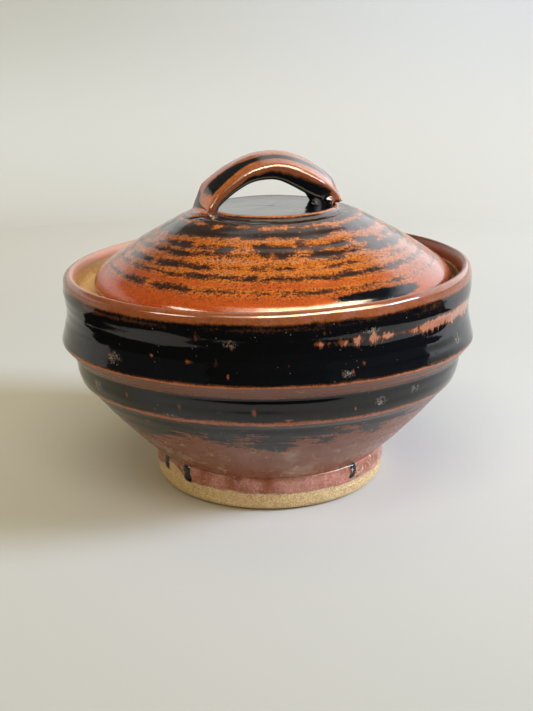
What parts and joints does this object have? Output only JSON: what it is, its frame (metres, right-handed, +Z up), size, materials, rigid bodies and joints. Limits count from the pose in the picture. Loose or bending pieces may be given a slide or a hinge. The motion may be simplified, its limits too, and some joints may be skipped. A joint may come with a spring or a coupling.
{
  "type": "lidded stoneware casserole",
  "caption": "Round thrown stoneware pot on a foot ring, with stepped ridges, an inset gallery, and a low domed lid lifted by an arched strap handle.",
  "frame": {"origin": "centre of the foot ring's footprint, on the surface the pot stands on", "axes": "+Z up along the wheel axis; +X along the handle's length, which is turned 12 degrees from it towards +Y; the seen side faces -Y"},
  "size_m": [0.22, 0.22, 0.1748],
  "materials": {
    "bowl_glaze": "glossy iron-black glaze breaking to rust on lip and ridges, bare clay in the gallery",
    "foot_glaze": "thin plum-brown glaze over a bare, grainy tan standing edge",
    "lid_glaze": "glossy rust glaze with broken black throwing bands",
    "handle_glaze": "glossy rust glaze with black stripes along the strap"
  },
  "bodies": {
    "pot": {"bowl": "bowl_glaze", "foot_ring": "foot_glaze"},
    "lid": {"lid": "lid_glaze", "strap_handle": "handle_glaze"}
  },
  "joints": [
    {"name": "lid_lift", "type": "slide", "parent": "pot", "child": "lid", "axis": [0, 0, 1], "range_m": [0, 0.12]}
  ]
}
